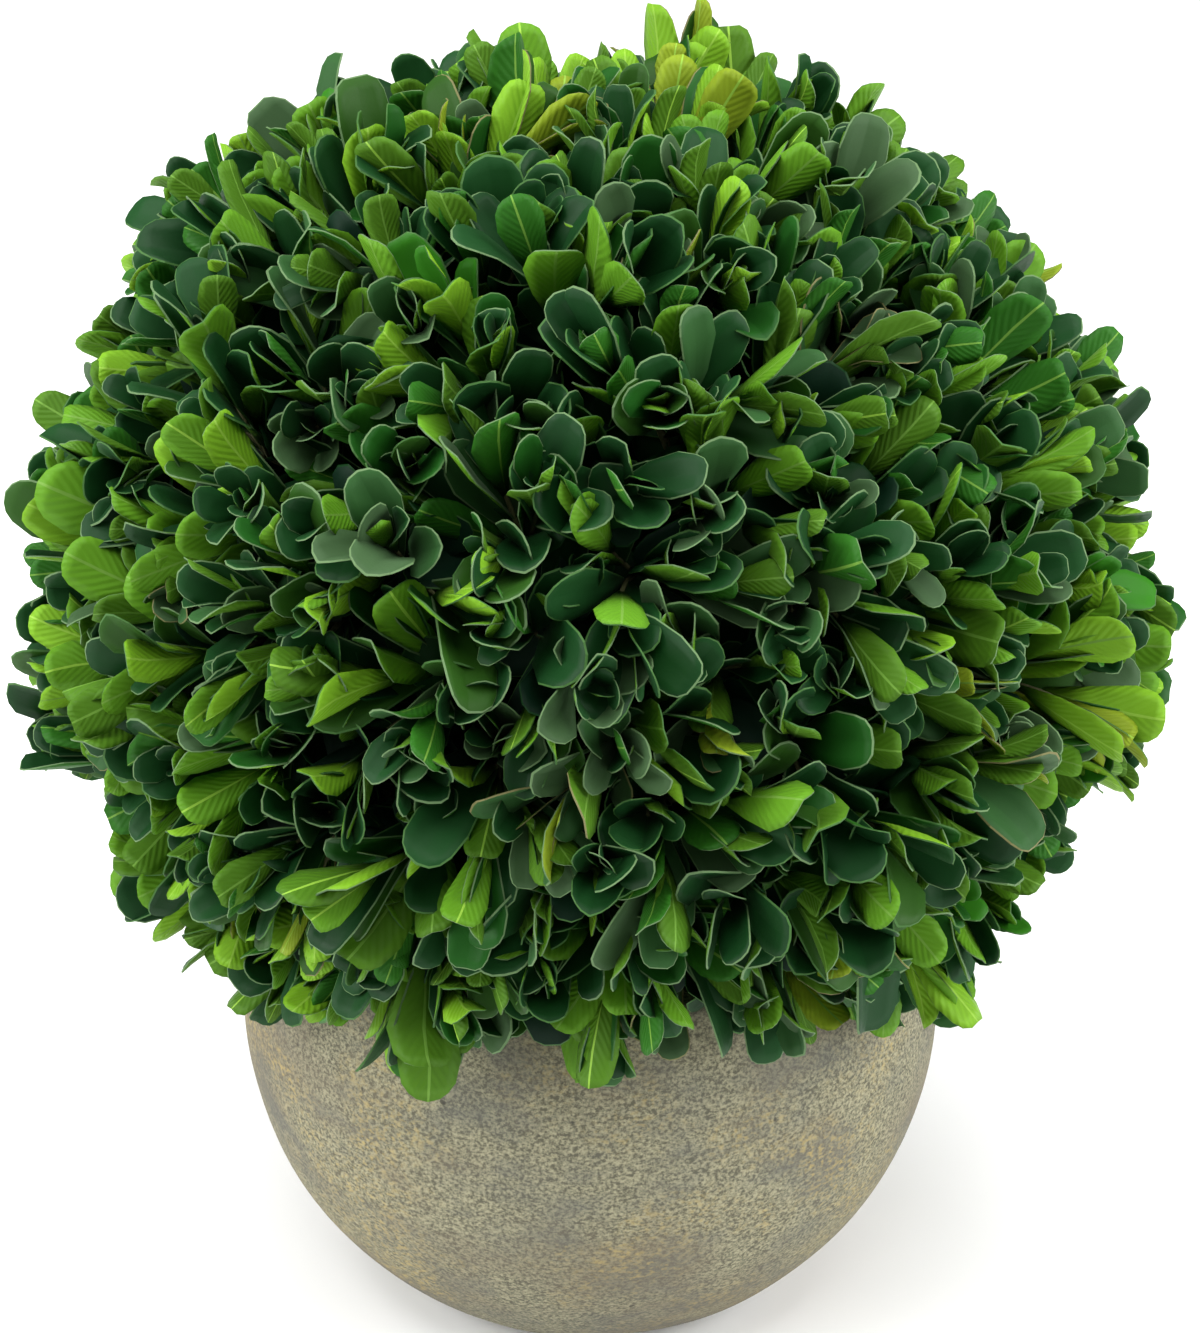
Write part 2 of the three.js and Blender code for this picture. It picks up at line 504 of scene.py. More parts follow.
@dataclass(frozen=True)
class LeafPalette:
    """All leaf skins and the share of the sprigs that each tint takes."""

    skins: tuple[LeafSkin, ...] = (
        LeafSkin("top_deep", (0.0038, 0.031, 0.0060), 0.5, 0.01),
        LeafSkin("top_blue", (0.0060, 0.042, 0.0085), 0.52, 0.03),
        LeafSkin("top_green", (0.0085, 0.064, 0.0060), 0.48, 0.01),
        LeafSkin("top_grey", (0.020, 0.071, 0.017), 0.55, 0.04),
        LeafSkin("top_olive", (0.016, 0.060, 0.005), 0.52, 0.02),
        LeafSkin("top_fresh", (0.022, 0.130, 0.006), 0.48, 0.01),
        # Grey-brown upper side: partly a faded leaf's colour, partly painted sheen.
        LeafSkin("top_dull", (0.034, 0.074, 0.027), 0.58, 0.06),
        # Near-black upper side: painted shade for leaves deep in the ball.
        LeafSkin("top_old", (0.0015, 0.015, 0.0060), 0.6),
        LeafSkin("under_lime", (0.145, 0.315, 0.014), 0.52, 0.01, 0.9),
        LeafSkin("under_leaf", (0.082, 0.215, 0.010), 0.52, 0.01, 0.9),
        LeafSkin("under_olive", (0.056, 0.145, 0.008), 0.54, 0.01, 0.8),
        LeafSkin("under_moss", (0.018, 0.100, 0.007), 0.54, 0.01, 0.7),
        LeafSkin("under_gold", (0.175, 0.250, 0.012), 0.54, 0.01, 0.8),
        # Near-black underside: painted shade for leaves deep in the ball.
        LeafSkin("under_old", (0.004, 0.028, 0.006), 0.6),
        # Pale grey-green rim: painted highlight of light along the leaf's edge.
        LeafSkin("rim_pale", (0.090, 0.155, 0.066), 0.6),
        LeafSkin("rim_green", (0.040, 0.105, 0.026), 0.6),
        LeafSkin("rim_tan", (0.13, 0.125, 0.05), 0.6),
        LeafSkin("midrib_lime", (0.22, 0.40, 0.045), 0.5),
        LeafSkin("midrib_pale", (0.12, 0.25, 0.035), 0.5),
    )
    shares: tuple[tuple[Tint, float], ...] = (
        (Tint.SHADED, 0.29),
        (Tint.GREY, 0.22),
        (Tint.MID, 0.29),
        (Tint.FRESH, 0.09),
        (Tint.GOLDEN, 0.08),
        (Tint.FADED, 0.03),
    )
    # Each tint's lean with the side of the ball: lighter tints on the back and lower side as painted
    # light, darker ones on the front and upper side as painted shade.
    painted_light_lean: Mapping[Tint, float] = field(
        default_factory=lambda: {
            Tint.SHADED: -0.5,
            Tint.GREY: -0.35,
            Tint.FRESH: 0.9,
            Tint.GOLDEN: 0.95,
        }
    )

    def odds(self, painted_light: float) -> np.ndarray:
        """Return each tint's chance on a sprig.

        Args:
            painted_light: How far the sprig faces the back and the bottom of the ball, from -1 to 1;
                there lighter tints are dealt as painted light, at the front and top darker ones as
                painted shade.

        Returns:
            The chances, in the order of the shares.
        """
        lean = self.painted_light_lean
        odds = np.array([share * (1 + lean.get(tint, 0.0) * painted_light) for tint, share in self.shares])
        return odds / odds.sum()

    def deals(self, tint: Tint) -> dict[LeafPart, tuple[str, ...]]:
        """Return the names of the skins that a tint deals to each part of its leaves.

        Args:
            tint: Colouring of the sprig.

        Returns:
            For each part, names to draw from with even chances.
        """
        return {part: tuple(names.split()) for part, names in zip(LeafPart, DEALS[tint], strict=True)}

    def slots(self) -> dict[str, int]:
        """Return each skin's slot number by name."""
        return {skin.name: i for i, skin in enumerate(self.skins)}

    def materials(self) -> list[bpy.types.Material]:
        """Return the skins as materials, in slot order."""
        return [skin.material() for skin in self.skins]


# ---- Pieces ----------------------------------------------------------------------------------
def finish_piece(
    name: str,
    mesh: bpy.types.Mesh,
    materials: Sequence[bpy.types.Material],
    node: str,
) -> bpy.types.Object:
    """Add a mesh to the scene as a piece that stands for a CAD node.

    Args:
        name: Name of the piece.
        mesh: Its mesh, in place.
        materials: Materials, in the order of its faces' slots.
        node: The CAD node that it stands for.

    Returns:
        The new object.
    """
    mesh.name = name
    for material in materials:
        mesh.materials.append(material)
    piece = bpy.data.objects.new(name, mesh)
    bpy.context.scene.collection.objects.link(piece)
    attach(piece, ROOT)
    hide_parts(node)
    mesh.calc_loop_triangles()
    LOG.info("%s: %d triangles", name, len(mesh.loop_triangles))
    return piece


def spun_mesh(name: str, profile: Sequence[tuple[float, float]], steps: int) -> bpy.types.Mesh:
    """Spin a profile that starts and ends on the axis into a closed, smooth mesh.

    Args:
        name: Name of the mesh.
        profile: Radii and heights.
        steps: Sides of the full turn.

    Returns:
        The mesh, with its faces outward.
    """
    bm = bmesh.new()
    points = [bm.verts.new((radius, 0.0, height)) for radius, height in profile]
    edges = [bm.edges.new(pair) for pair in zip(points, points[1:], strict=False)]
    bmesh.ops.spin(
        bm,
        geom=[*points, *edges],
        cent=(0.0, 0.0, 0.0),
        axis=(0.0, 0.0, 1.0),
        angle=math.tau,
        steps=steps,
        use_merge=True,
    )
    bmesh.ops.remove_doubles(bm, verts=bm.verts, dist=0.02 * MM)
    bmesh.ops.recalc_face_normals(bm, faces=bm.faces)
    for face in bm.faces:
        face.smooth = True
    mesh = bpy.data.meshes.new(name)
    bm.to_mesh(mesh)
    bm.free()
    return mesh


def ruffle(mesh: bpy.types.Mesh, lift: Callable[[Vector], float]) -> None:
    """Move every vertex of a mesh along its normal.

    Args:
        mesh: The mesh.
        lift: How far a vertex at a place moves out.
    """
    shifts = [vertex.normal * lift(vertex.co) for vertex in mesh.vertices]
    for vertex, shift in zip(mesh.vertices, shifts, strict=True):
        vertex.co += shift
    mesh.update()


@dataclass
class StonePot:
    """The round-bellied pot, a sphere with a flat foot and an open mouth."""

    wall: float = 7 * MM
    floor: float = 10 * MM
    foot_round: float = 3 * MM
    lip_round: float = 2 * MM
    unevenness: float = 0.25 * MM
    uneven_pace: float = 45.0
    rows: int = 44
    bend_rows: int = 5
    steps: int = 160
    belly_radius: float = field(init=False)
    belly_height: float = field(init=False)
    rim_height: float = field(init=False)

    def __post_init__(self) -> None:
        """Read the belly and the rim from the pot's box and its widest points."""
        low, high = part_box("pot")
        places = [v.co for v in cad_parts["pot"].data.vertices]
        self.rim_height = high.z
        self.belly_radius = (high.x - low.x) / 2
        shoulder = self.rim_height - self.lip_round
        outer = max(math.hypot(p.x, p.y) for p in places if abs(p.z - shoulder) < 0.05 * MM)
        self.belly_height = shoulder - math.sqrt(self.belly_radius**2 - outer**2)

    def radius_at(self, height: float, inset: float = 0.0) -> float:
        """Return the wall's radius at a height, inside its face by an inset."""
        ball = self.belly_radius - inset
        return math.sqrt(max(ball**2 - (height - self.belly_height) ** 2, 0.0))

    def _arc(self, low: float, high: float, inset: float, rows: int) -> list[tuple[float, float]]:
        """Follow the spherical wall up or down.

        Args:
            low: Height of the first point.
            high: Height of the last point.
            inset: How far inside the outer face it runs.
            rows: Steps, even by angle.

        Returns:
            Radii and heights.
        """
        ball = self.belly_radius - inset
        start = math.asin((low - self.belly_height) / ball)
        end = math.asin((high - self.belly_height) / ball)
        turns = [start + (end - start) * i / rows for i in range(rows + 1)]
        return [(ball * math.cos(a), self.belly_height + ball * math.sin(a)) for a in turns]

    @staticmethod
    def _bend(
        start: tuple[float, float], corner: tuple[float, float], end: tuple[float, float], rows: int
    ) -> list[tuple[float, float]]:
        """Round a corner.

        Args:
            start: Radius and height where the bend starts.
            corner: The sharp corner.
            end: Where the bend ends.
            rows: Steps.

        Returns:
            Radii and heights.
        """
        a, b, c = Vector(start), Vector(corner), Vector(end)
        shares = [i / rows for i in range(rows + 1)]
        return [tuple(a * (1 - t) ** 2 + b * 2 * t * (1 - t) + c * t**2) for t in shares]

    def profile(self) -> list[tuple[float, float]]:
        """Draw the section of the wall, from the foot up, over the rim and down inside.

        Returns:
            Radii and heights.
        """
        rim = self.rim_height
        shoulder = rim - self.lip_round
        foot = self.radius_at(0.0)
        outer, inner = self.radius_at(rim), self.radius_at(rim, self.wall)
        return [
            (0.0, 0.0),
            (foot * 0.5, 0.0),
            *self._bend(
                (foot - self.foot_round, 0.0),
                (foot, 0.0),
                (self.radius_at(self.foot_round), self.foot_round),
                self.bend_rows,
            ),
            *self._arc(self.foot_round, shoulder, 0.0, self.rows)[1:-1],
            *self._bend(
                (self.radius_at(shoulder), shoulder),
                (outer, rim),
                (outer - self.lip_round, rim),
                self.bend_rows,
            ),
            *self._bend(
                (inner + self.lip_round, rim),
                (inner, rim),
                (self.radius_at(shoulder, self.wall), shoulder),
                self.bend_rows,
            ),
            *self._arc(shoulder, self.floor, self.wall, self.rows // 2)[1:],
            (0.0, self.floor),
        ]

    def build(self) -> None:
        """Make the pot, a little uneven as cast stone is."""
        mesh = spun_mesh("stone_pot", self.profile(), self.steps)
        ruffle(mesh, self._cast)
        finish_piece("stone_pot", mesh, [CastStone().material()], "pot")

    def _cast(self, place: Vector) -> float:
        """Work out how far the cast wall stands out.

        Args:
            place: A point of it.

        Returns:
            The distance, which is nothing at the flat foot.
        """
        if place.z <= self.foot_round:
            return 0.0
        return self.unevenness * noise.noise(place * self.uneven_pace)


@dataclass
class PlantingMix:
    """The planting mix that fills the pot's bowl."""

    rows: int = 26
    steps: int = 120
    lump: float = 1.1 * MM
    lump_pace: float = 160.0
    crumb_pace: float = 420.0

    def build(self) -> None:
        """Make the mix with a crumbly top, inside its CAD solid's outline."""
        low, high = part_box("soil")
        places = [v.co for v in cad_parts["soil"].data.vertices]
        sides = sorted({(round(p.z, 5), round(math.hypot(p.x, p.y), 5)) for p in places})
        widest = max(radius for _, radius in sides)
        edge = max(z for z, radius in sides if radius > widest * 0.85)
        wall = [(radius, z) for z, radius in sides if z <= edge and radius > 0.0]
        edge_radius = wall[-1][0]
        across = [edge_radius * (1 - (i + 1) / self.rows) for i in range(self.rows - 1)]
        top = [(r, high.z - (high.z - edge) * (r / edge_radius) ** 2) for r in across]
        mesh = spun_mesh("planting_mix", [(0.0, low.z), *wall, *top, (0.0, high.z)], self.steps)
        ruffle(mesh, lambda p: self._crumbs(p, edge))
        finish_piece("planting_mix", mesh, [PottingMix().material()], "soil")

    def _crumbs(self, place: Vector, edge: float) -> float:
        """Work out how far the crumbs stand out.

        Args:
            place: A point of the mix.
            edge: Height of the top's edge.

        Returns:
            The distance, which is nothing below the top.
        """
        if place.z < edge:
            return 0.0
        crumbs = 0.6 * noise.noise(place * self.crumb_pace)
        return self.lump * (noise.noise(place * self.lump_pace) + crumbs - 0.6)


# ---- Limbs -----------------------------------------------------------------------------------
@dataclass
class Limb:
    """One tapering limb along a quadratic curve."""

    start: Vector
    knee: Vector
    end: Vector
    start_radius: float
    end_radius: float

    def point(self, share: float) -> Vector:
        """Return the point at a share of the way along."""
        rest = 1 - share
        return self.start * rest**2 + self.knee * 2 * rest * share + self.end * share**2

    def heading(self, share: float) -> Vector:
        """Work out the direction of growth.

        Args:
            share: How far along the limb, from 0 to 1.

        Returns:
            The direction, of unit length.
        """
        rest = 1 - share
        way = (self.knee - self.start) * rest + (self.end - self.knee) * share
        return way.normalized()

    def length(self) -> float:
        """Return the length, close enough for spacing leaves."""
        return ((self.knee - self.start).length + (self.end - self.knee).length) * 0.98


@dataclass
class RoundWood:
    """A plain round stick that limbs are drawn from, by its rings along a unit length."""

    sides: int
    rings: int
    tip_share: float = 0.05
    knot_pace: float = 700.0
    shares: np.ndarray = field(init=False)
    ring: np.ndarray = field(init=False)
    quads: np.ndarray = field(init=False)

    def __post_init__(self) -> None:
        """Model the stick by extruding a circle, and read it out as arrays."""
        bm = bmesh.new()
        made = bmesh.ops.create_circle(bm, cap_ends=False, segments=self.sides, radius=1.0)
        edges = list({e for v in made["verts"] for e in v.link_edges})
        for _ in range(self.rings - 1):
            grown = bmesh.ops.extrude_edge_only(bm, edges=edges)["geom"]
            verts = [g for g in grown if isinstance(g, bmesh.types.BMVert)]
            edges = [g for g in grown if isinstance(g, bmesh.types.BMEdge)]
            bmesh.ops.translate(bm, verts=verts, vec=(0.0, 0.0, 1.0 / (self.rings - 1)))
        bmesh.ops.remove_doubles(bm, verts=bm.verts, dist=1e-5)
        ends = [e for e in bm.edges if e.is_boundary]
        for height in (0.0, 1.0):
            loop = [e for e in ends if all(abs(v.co.z - height) < 1e-4 for v in e.verts)]
            tip = bmesh.ops.extrude_edge_only(bm, edges=loop)["geom"]
            verts = [g for g in tip if isinstance(g, bmesh.types.BMVert)]
            bmesh.ops.scale(bm, vec=(self.tip_share, self.tip_share, 1.0), verts=verts)
        bmesh.ops.recalc_face_normals(bm, faces=bm.faces)
        bm.verts.index_update()
        places = np.array([v.co for v in bm.verts])
        self.shares = places[:, 2].clip(0.0, 1.0)
        self.ring = places[:, :2]
        self.quads = np.array([[v.index for v in f.verts] for f in bm.faces])
        bm.free()

    def along(self, limb: Limb, relief: float = 0.0) -> np.ndarray:
        """Lay the stick along a limb.

        Args:
            limb: The limb to follow.
            relief: How far furrows and knots stand out, as a share of the radius.

        Returns:
            The places of the stick's vertices.
        """
        side = limb.heading(0.5).orthogonal().normalized()
        out = np.zeros((len(self.shares), 3))
        for i, share in enumerate(self.shares):
            heading = limb.heading(share)
            first = (side - heading * side.dot(heading)).normalized()
            second = heading.cross(first)
            radius = limb.start_radius + (limb.end_radius - limb.start_radius) * share
            spoke = first * self.ring[i, 0] + second * self.ring[i, 1]
            place = limb.point(share) + spoke * radius
            if relief:
                place += spoke * radius * relief * noise.noise(place * self.knot_pace)
            out[i] = place
        return out


class Joiner:
    """Copies of small shapes gathered as arrays and made into one mesh."""

    def __init__(self) -> None:
        """Start empty."""
        self.places: list[np.ndarray] = []
        self.quads: list[np.ndarray] = []
        self.slots: list[np.ndarray] = []
        self.smooth: list[np.ndarray] = []
        self.marks: list[np.ndarray] = []
        self.count = 0

    def add(
        self,
        places: np.ndarray,
        quads: np.ndarray,
        slots: np.ndarray,
        smooth: np.ndarray,
        marks: np.ndarray | None = None,
    ) -> None:
        """Add one shape.

        Args:
            places: Places of its vertices.
            quads: Its faces, four corners each.
            slots: Material slot of each face.
            smooth: Whether each face is smooth.
            marks: UV place of each face corner, where the shape has them.
        """
        self.places.append(places)
        self.quads.append(quads + self.count)
        self.slots.append(slots)
        self.smooth.append(smooth)
        if marks is not None:
            self.marks.append(marks)
        self.count += len(places)

    def mesh(self, name: str) -> bpy.types.Mesh:
        """Make the gathered shapes into one mesh.

        Args:
            name: Name of the mesh.

        Returns:
            The mesh.
        """
        places = np.concatenate(self.places)
        quads = np.concatenate(self.quads)
        mesh = bpy.data.meshes.new(name)
        mesh.vertices.add(len(places))
        mesh.vertices.foreach_set("co", places.ravel())
        mesh.loops.add(quads.size)
        mesh.loops.foreach_set("vertex_index", quads.ravel())
        mesh.polygons.add(len(quads))
        mesh.polygons.foreach_set("loop_start", np.arange(len(quads)) * 4)
        mesh.polygons.foreach_set("material_index", np.concatenate(self.slots))
        mesh.update(calc_edges=True)
        mesh.polygons.foreach_set("use_smooth", np.concatenate(self.smooth))
        if self.marks:
            layer = mesh.uv_layers.new(name="leaf")
            layer.uv.foreach_set("vector", np.concatenate(self.marks).ravel())
        mesh.update()
        return mesh


# ---- Leaves ----------------------------------------------------------------------------------
@dataclass(frozen=True)
class LeafShape:
    """One box leaf of unit length: spoon-shaped, with a thin rim round its upper side, often coloured
    pale as a painted highlight.
    """

    width: float = 0.5
    cup: float = 0.3
    fold: float = 0.1
    curl: float = 0.2
    twist: float = 0.0
    wave: float = 0.0
    notch: float = 0.03
    peak: float = 0.68
    taper: float = 1.3
    petiole: float = 0.12
    tip_width: float = 0.68
    tip_round: float = 0.065
    rim: float = 0.010
    thickness: float = 0.013
    end_taper: float = 2.2
    notch_spread: float = 0.3

    def outline(self, along: float) -> float:
        """Work out the half width of the leaf.

        Args:
            along: From 0 at the stalk to 1 at the tip.

        Returns:
            Half the width there.
        """
        if along < self.peak:
            swell = math.sin(0.5 * math.pi * (along / self.peak) ** self.taper)
            share = self.petiole + (1 - self.petiole) * swell
        else:
            past = (along - self.peak) / (1 - self.peak)
            share = 1 - (1 - self.tip_width) * past**self.end_taper
        return 0.5 * self.width * share

    def place(self, across: float, along: float, top: bool) -> Vector:
        """Return a point of the leaf's skin.

        Args:
            across: From -1 at one edge to 1 at the other.
            along: From 0 at the stalk to 1 at the tip.
            top: Whether it is on the upper side.

        Returns:
            Its place, with the leaf's length along +Y and its upper side towards +Z.
        """
        half = self.outline(along)
        if top:
            across *= max(1 - self.rim / half, 0.3)
            along = self.rim + along * (1 - 2 * self.rim)
        x = half * across
        y = along - self.tip_round * along**6 * across**2
        y -= self.notch * along**8 * math.exp(-((across / self.notch_spread) ** 2))
        z = half * (self.cup * across**2 + self.fold * abs(across)) * min(1.0, along * 3)
        z += self.wave * half * across * math.sin(along * math.tau)
        z += self.thickness if top else 0.0
        turn = self.twist * y
        x, z = x * math.cos(turn) - z * math.sin(turn), x * math.sin(turn) + z * math.cos(turn)
        bend = self.curl * y * y
        return Vector((x, y * math.cos(bend * 0.5) - z * math.sin(bend), z + y * math.sin(bend * 0.5)))


COLUMNS = (-1.0, -0.6, -0.05, 0.05, 0.6, 1.0)
ROWS = (0.0, 0.38, 0.7, 0.9, 1.0)
PLAIN_COLUMNS = (-1.0, -0.45, 0.45, 1.0)
PLAIN_ROWS = (0.0, 0.4, 0.78, 1.0)


class LeafCast:
    """A leaf modelled once and read out as arrays, to be copied many times."""

    def __init__(
        self,
        shape: LeafShape,
        columns: Sequence[float] = COLUMNS,
        rows: Sequence[float] = ROWS,
    ) -> None:
        """Model the leaf from two grids bridged round their edges.

        Args:
            shape: The leaf's sizes.
            columns: Where the grid's lines lie across the leaf.
            rows: Where they lie along it.
        """
        wide, long = len(columns) - 1, len(rows) - 1
        gap = 0.1
        bm = bmesh.new()
        bmesh.ops.create_grid(bm, x_segments=wide, y_segments=long, size=1.0)
        upper = list(bm.faces)
        under = bmesh.ops.duplicate(bm, geom=[*bm.verts, *bm.edges, *bm.faces])["geom"]
        low = [g for g in under if isinstance(g, bmesh.types.BMVert)]
        bmesh.ops.translate(bm, verts=low, vec=(0.0, 0.0, -gap))
        rims = bmesh.ops.bridge_loops(bm, edges=[e for e in bm.edges if e.is_boundary])["faces"]
        marks = {}
        for vertex in bm.verts:
            column = round((vertex.co.x + 1) / 2 * wide)
            row = round((vertex.co.y + 1) / 2 * long)
            top = vertex.co.z > -0.5 * gap
            marks[vertex] = ((columns[column] + 1) / 2, rows[row])
            vertex.co = shape.place(columns[column], rows[row], top)
        bmesh.ops.recalc_face_normals(bm, faces=bm.faces)
        bm.verts.index_update()
        tops, edges = set(upper), set(rims)
        self.places = np.array([v.co for v in bm.verts])
        self.quads = np.array([[v.index for v in f.verts] for f in bm.faces])
        self.marks = np.array([marks[v] for f in bm.faces for v in f.verts])
        self.parts = np.array([self._part(f, tops, edges, marks) for f in bm.faces])
        self.smooth = self.parts != LeafPart.RIM
        bm.free()

    @staticmethod
    def _part(
        face: bmesh.types.BMFace,
        tops: set[bmesh.types.BMFace],
        edges: set[bmesh.types.BMFace],
        marks: Mapping[bmesh.types.BMVert, tuple[float, float]],
    ) -> LeafPart:
        """Tell which part of the leaf a face belongs to.

        Args:
            face: The face.
            tops: The faces of the upper side.
            edges: The faces of the rim.
            marks: Each vertex's place on the leaf, from 0 to 1 each way.

        Returns:
            The part.
        """
        if face in edges:
            return LeafPart.RIM
        if face in tops:
            return LeafPart.TOP
        middle = all(abs(marks[v][0] - 0.5) < 0.1 for v in face.verts)
        return LeafPart.MIDRIB if middle else LeafPart.UNDER


@dataclass
class LeafPose:
    """Where one leaf stands: its stalk's place, its frame, its length and its sprig's tint."""

    base: Vector
    turn: Matrix
    length: float
    plain: bool
    tint: Tint


# ---- Growth ----------------------------------------------------------------------------------
@dataclass(frozen=True)
class LeafPair:
    """Where a crossed pair of leaves stands below a tip, in millimetres, and how it is held."""

    drop: float
    length: float
    lean: float


@dataclass(frozen=True)
class Generation:
    """One generation of limbs.

    The share is how far out they end on the way to the clipped surface, and the sag is how far
    their middle hangs, as a share of their span.
    """

    kind: str
    count: int
    share: float
    foot: float
    tip: float
    sag: float


@dataclass(frozen=True)
class Spread:
    """How much limbs and leaves differ by chance, as standard deviations."""

    bough_way: float = 0.06
    limb_way: float = 0.35
    sway: float = 0.07
    vigour: float = 0.09
    openness: float = 0.16
    pair_turn: float = 0.12
    leaf_turn: float = 0.1
    lean: float = 6.5
    roll: float = 0.45
    length: float = 0.1


# The direction and the end of each limb of one generation.
Tips = list[tuple[Vector, Vector]]


@dataclass
class Growth:
    """The seeded branching rule that fills the clipped ball from the stem's top.

    Each generation of limbs is aimed evenly over the ball by the golden angle, and each limb grows
    from the end of the older limb that points most nearly its way. Leaf pairs lean out from their
    limb by an angle in degrees. Reaches are shares of half the ball's width.
    """

    pot: StonePot
    seed: int = 9779
    boughs: Generation = Generation("boughs", 15, 0.34, 2.6 * MM, 1.7 * MM, 0.0625)
    branches: Generation = Generation("branches", 66, 0.56, 1.5525 * MM, 1.15 * MM, 0.025)
    twigs: Generation = Generation("twigs", 215, 0.70, 1.0125 * MM, 0.75 * MM, 0.025)
    sprigs: Generation = Generation("sprigs", 780, 1.0, 0.6 * MM, 0.4 * MM, 0.0)
    spread: Spread = Spread()
    sprig_arch: float = 0.12
    fork_drops: tuple[float, ...] = (4 * MM, 9 * MM, 15 * MM)
    top_fork_rise: float = 0.2
    centre_drop: float = 0.955
    least_bough_reach: float = 0.5
    least_limb_reach: float = 0.75
    least_sprig_reach: float = 0.8
    bough_gap: float = 14 * MM
    limb_gap: float = 3 * MM
    sprig_gap: float = 2 * MM
    leaf_reach: float = 15.3 * MM
    reach_spread: float = 5.5 * MM
    skirt_lift: float = 5.0 * MM
    skirt_start: float = 0.3
    lumps: float = 6.5 * MM
    lump_pace: float = 3.4
    lump_shift: float = 53.3
    # The side of the ball whose sprigs take lighter tints, as painted light; the opposite side takes
    # darker ones, as painted shade.
    painted_light_side: tuple[float, float, float] = (0.1, 0.85, -0.5)
    bud_share: float = 0.5
    least_leaf_share: float = 0.08
    plain_ranks: tuple[int, ...] = (0, 5)
    # From this pair down, deep in the ball, the leaves take the near-black skins of painted shade.
    painted_shade_rank: int = 5
    pairs: tuple[LeafPair, ...] = (
        LeafPair(0.0, 12.0, 9.0),
        LeafPair(1.8, 18.0, 11.0),
        LeafPair(6.5, 22.0, 13.0),
        LeafPair(12.0, 23.6, 16.0),
        LeafPair(17.5, 23.6, 20.0),
        LeafPair(23.0, 22.0, 26.0),
    )
    inner_pairs: tuple[LeafPair, ...] = (
        LeafPair(0.0, 20.0, 42.0),
        LeafPair(3.0, 23.0, 58.0),
        LeafPair(7.0, 25.0, 73.0),
        LeafPair(12.0, 26.0, 81.0),
        LeafPair(18.0, 26.0, 86.0),
    )
    skirt_drop: float = 20.0 * MM
    skirt_pairs: tuple[LeafPair, ...] = (
        LeafPair(15.0, 19.0, 55.0),
        LeafPair(22.0, 21.0, 70.0),
    )
    clearance: float = 1.2 * MM

    def __post_init__(self) -> None:
        """Open the clipped surface and the random source."""
        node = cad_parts["crown"].data
        places = [v.co.copy() for v in node.vertices]
        faces = [tuple(p.vertices) for p in node.polygons]
        self.surface = BVHTree.FromPolygons(places, faces)
        low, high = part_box("crown")
        self.half_width = (high.x - low.x) / 2
        self.stem_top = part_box("stem")[1].z
        self.centre = Vector((0.0, 0.0, high.z - self.centre_drop * self.half_width))
        self.random = np.random.default_rng(self.seed)
        generations = (self.boughs, self.branches, self.twigs, self.sprigs)
        self.limbs: dict[str, list[Limb]] = {generation.kind: [] for generation in generations}
        self.leaves: list[LeafPose] = []

    def reach(self, way: Vector) -> float:
        """Return how far the clipped surface is from the centre in a direction."""
        hit = self.surface.ray_cast(self.centre, way)
        return hit[3] if hit[3] is not None else 0.0

    def ways(self, count: int, jitter: float) -> list[Vector]:
        """Return directions spread evenly over the ball, each a little off its place.

        Args:
            count: How many.
            jitter: How far they stray, as a standard deviation on the unit ball.

        Returns:
            The directions, from the top of the ball down.
        """
        found = []
        for i in range(count):
            rise = 1 - 2 * (i + 0.5) / count
            out = math.sqrt(1 - rise * rise)
            turn = i * GOLDEN_ANGLE
            way = Vector((out * math.cos(turn), out * math.sin(turn), rise))
            way += Vector(self.random.normal(0.0, jitter, 3))
            found.append(way.normalized())
        return found

    def grow(self) -> None:
        """Grow every generation of limbs, then the leaves, all clear of the pot."""
        forks = [Vector((0.0, 0.0, self.stem_top - drop)) for drop in self.fork_drops]
        tips = []
        for i, way in enumerate(self.ways(self.boughs.count, self.spread.bough_way)):
            start = forks[0] if way.z > self.top_fork_rise else forks[1 + i % 2]
            reach = max(self.reach(way), self.least_bough_reach * self.half_width)
            end = self.centre + way * self.boughs.share * reach
            end.z = max(end.z, self.pot.rim_height + self.bough_gap)
            self._limb(self.boughs, start, end)
            tips.append((way, end))
        for generation in (self.branches, self.twigs):
            tips = self._next(generation, tips)
        # The leaves inside the ball take the near-black skins of painted shade.
        for limb in [*self.limbs["branches"], *self.limbs["twigs"]]:
            self._leaves(limb, Tint.OLD, self.inner_pairs, inner=True)
        self._sprigs(tips)

    def _limb(self, generation: Generation, start: Vector, end: Vector) -> Limb:
        """Add one limb that sags a little and bends to one side.

        Args:
            generation: The generation that it belongs to.
            start: Where it leaves the older limb.
            end: Its tip.

        Returns:
            The new limb.
        """
        span = (end - start).length
        sway = Vector(self.random.normal(0.0, self.spread.sway, 3)) * span
        knee = start.lerp(end, 0.5) + sway + Vector((0.0, 0.0, -generation.sag * span))
        limb = Limb(start, knee, end, generation.foot, generation.tip)
        self.limbs[generation.kind].append(limb)
        return limb

    def _next(self, generation: Generation, older: Tips) -> Tips:
        """Grow one generation from the ends of the last.

        Args:
            generation: What to grow.
            older: Direction and end of each limb of the last generation.

        Returns:
            Direction and end of each new limb.
        """
        tips = []
        for way in self.ways(generation.count, self.spread.limb_way / math.sqrt(generation.count)):
            reach = self.reach(way)
            if reach < self.least_limb_reach * self.half_width:
                continue
            end = self.centre + way * generation.share * reach
            if self._in_pot(end, self.limb_gap):
                continue
            _, start = max(older, key=lambda o: o[0].dot(way))
            self._limb(generation, start, end)
            tips.append((way, end))
        return tips

    def _in_pot(self, place: Vector, gap: float) -> bool:
        """Return whether a place is in the pot's wall, its bowl or its mouth, or too near them.

        Args:
            place: The place.
            gap: How near is too near.

        Returns:
            Whether the place is taken.
        """
        if place.z >= self.pot.rim_height + gap:
            return False
        offset = place - Vector((0.0, 0.0, self.pot.belly_height))
        return offset.length < self.pot.belly_radius + gap

